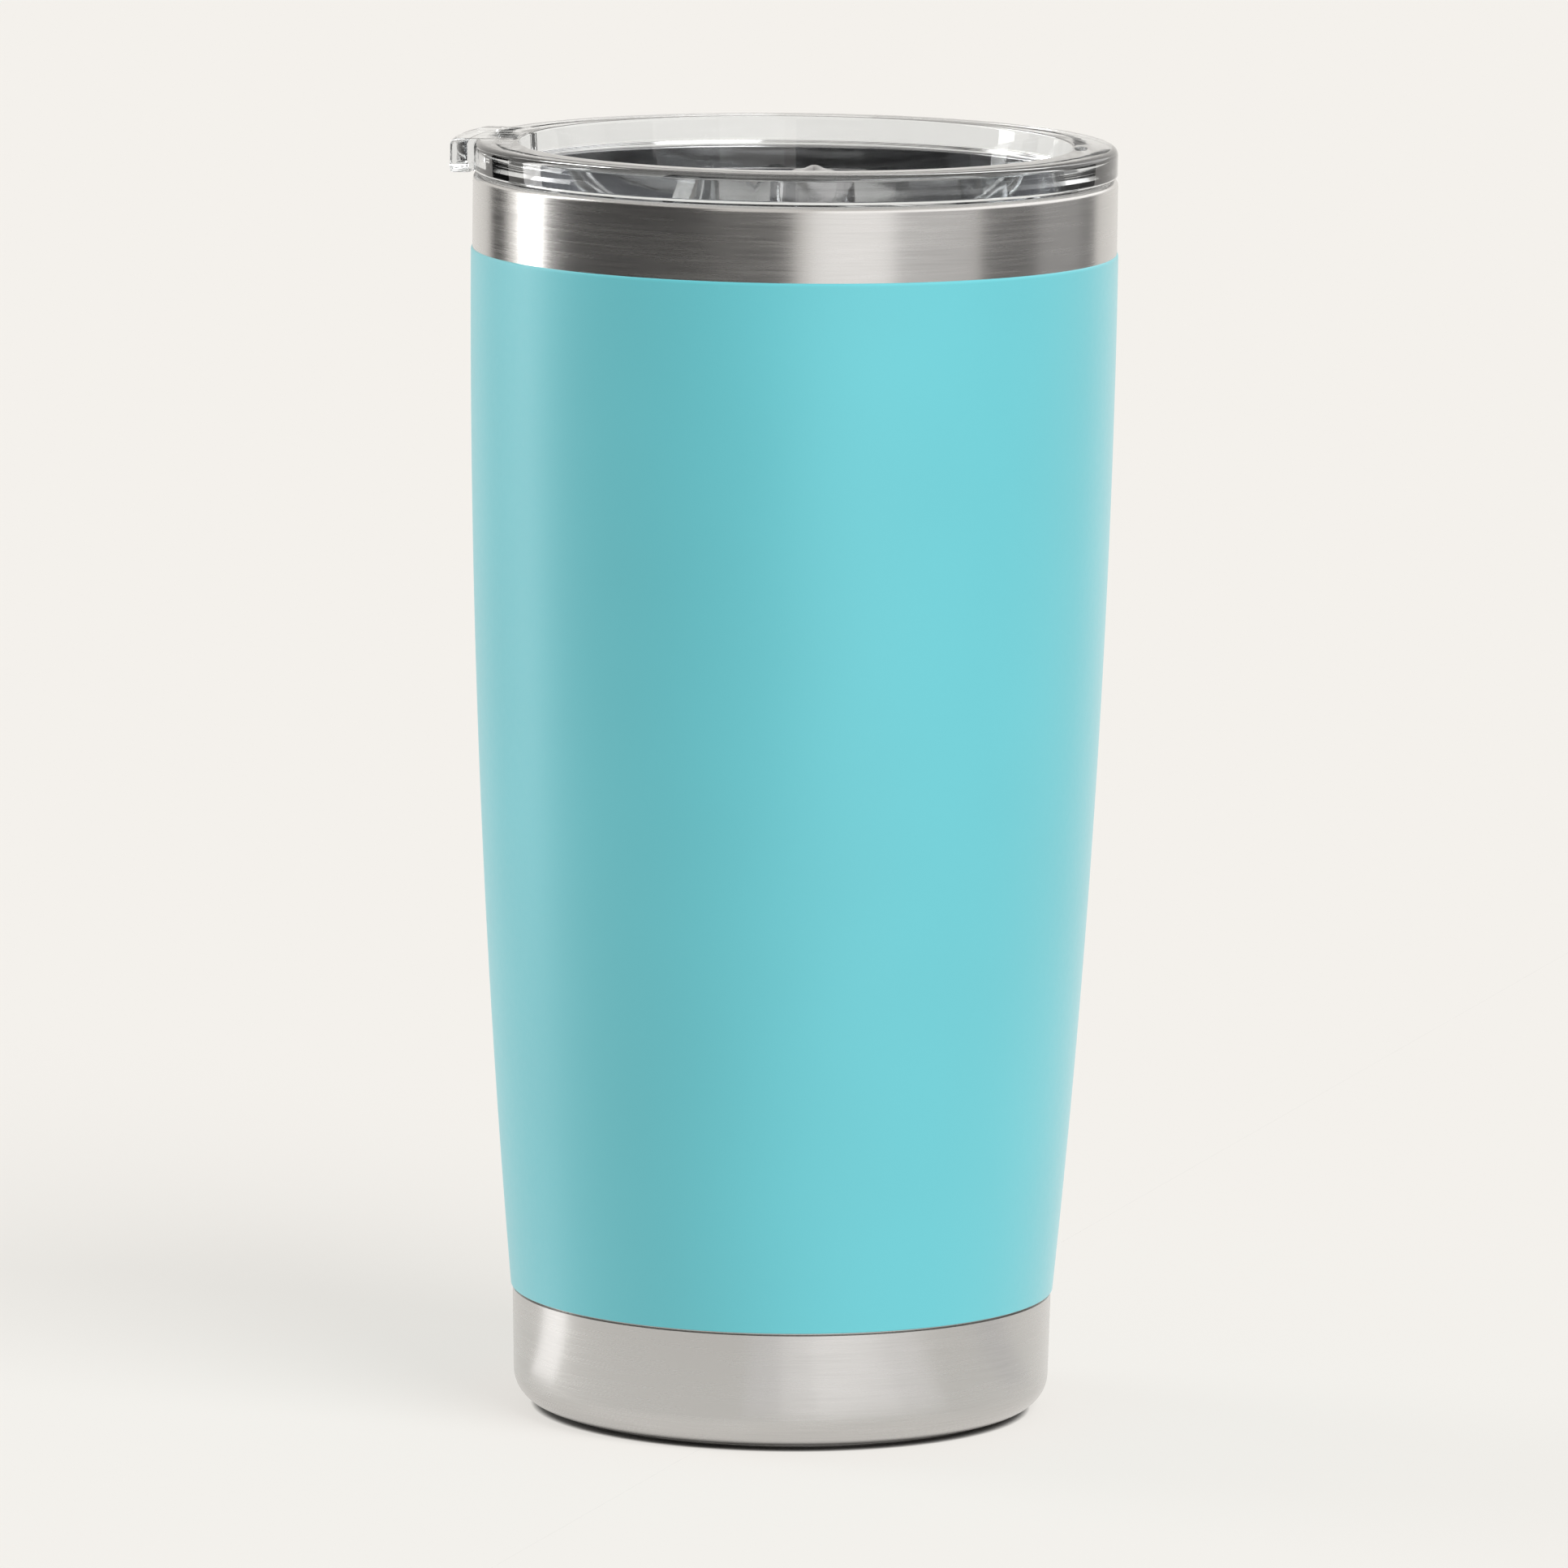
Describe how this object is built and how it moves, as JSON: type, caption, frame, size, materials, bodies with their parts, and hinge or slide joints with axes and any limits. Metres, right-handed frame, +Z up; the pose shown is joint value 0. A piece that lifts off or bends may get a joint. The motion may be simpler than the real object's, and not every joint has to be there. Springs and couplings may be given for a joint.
{
  "type": "insulated tumbler",
  "caption": "Double-wall steel tumbler with a coloured coat, bare steel bands and a clear push-in lid with a tab and a slide closure.",
  "frame": {"origin": "on the vessel's axis, in the plane of the foot it stands on", "axes": "+Z up along the vessel's axis, +X towards the drinking opening, -X towards the lid's tab"},
  "size_m": [0.0919, 0.0888, 0.1759],
  "materials": {
    "bare_steel": "fine circumferential brush",
    "teal_coat": "satin powder coat",
    "inner_steel": "drawn and polished",
    "base_steel": "satin",
    "disc_steel": "satin",
    "solder": "dull solder",
    "getter": "sintered, matte",
    "strap_steel": "plain strip",
    "clear_lid": "clear moulded copolyester, polished",
    "silicone": "dark grey silicone, matte",
    "smoked_slider": "grey-tinted moulded copolyester",
    "seal_silicone": "translucent silicone, matte"
  },
  "bodies": {
    "vessel": {"outer_shell": "bare_steel", "powder_coat": "teal_coat", "inner_liner": "inner_steel", "base_pan": "base_steel", "base_cover_disc": "disc_steel", "vacuum_plug": "solder", "getter_pellet": "getter", "getter_clip": "strap_steel"},
    "lid": {"lid_body": "clear_lid", "lid_gasket": "silicone"},
    "slider": {"lid_slider": "smoked_slider", "slider_seal": "seal_silicone"}
  },
  "joints": [
    {"name": "lid_lift", "type": "slide", "parent": "vessel", "child": "lid", "axis": [0, 0, 1], "range_m": [0, 0.04]},
    {"name": "slider_slide", "type": "slide", "parent": "lid", "child": "slider", "axis": [1, 0, 0], "range_m": [0, 0.012]}
  ]
}
